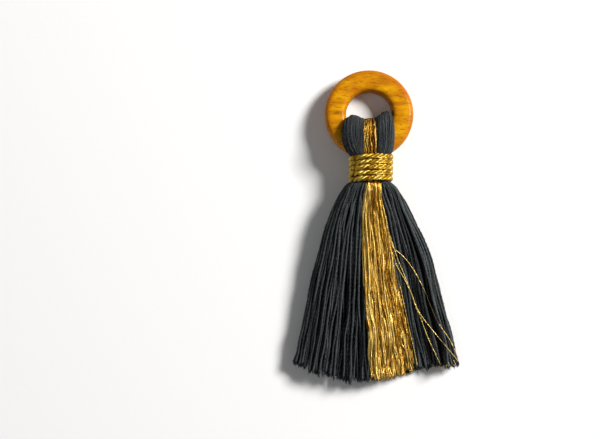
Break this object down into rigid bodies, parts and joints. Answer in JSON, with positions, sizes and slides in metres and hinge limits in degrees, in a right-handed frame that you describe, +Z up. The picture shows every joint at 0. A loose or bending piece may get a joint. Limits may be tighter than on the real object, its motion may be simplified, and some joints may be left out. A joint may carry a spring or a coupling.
{
  "type": "yarn tassel with a wooden ring",
  "caption": "Fan-shaped cotton tassel folded through a flat wooden ring, with a metallic stripe and a neck wound with twisted metallic cord.",
  "frame": {"origin": "middle of the whole tassel's box, on the surface that it lies on", "axes": "+X across the skirt, +Y along the tassel from the skirt's tips to the ring, +Z up from the surface, out of the tassel's front"},
  "size_m": [0.0478, 0.0888, 0.012],
  "materials": {
    "stained_wood": "amber stained hardwood under satin varnish, with short darker flecks",
    "black_cotton": "soft spun black cotton yarn, matt",
    "gold_thread": "fine crinkled metallic thread, antique gold",
    "gold_cord": "twisted metallic cord, bright gold"
  },
  "bodies": {
    "root": {"ring": "stained_wood", "yarn_hank": "black_cotton", "stripe_hank": "gold_thread", "binding": "gold_cord"}
  },
  "joints": []
}
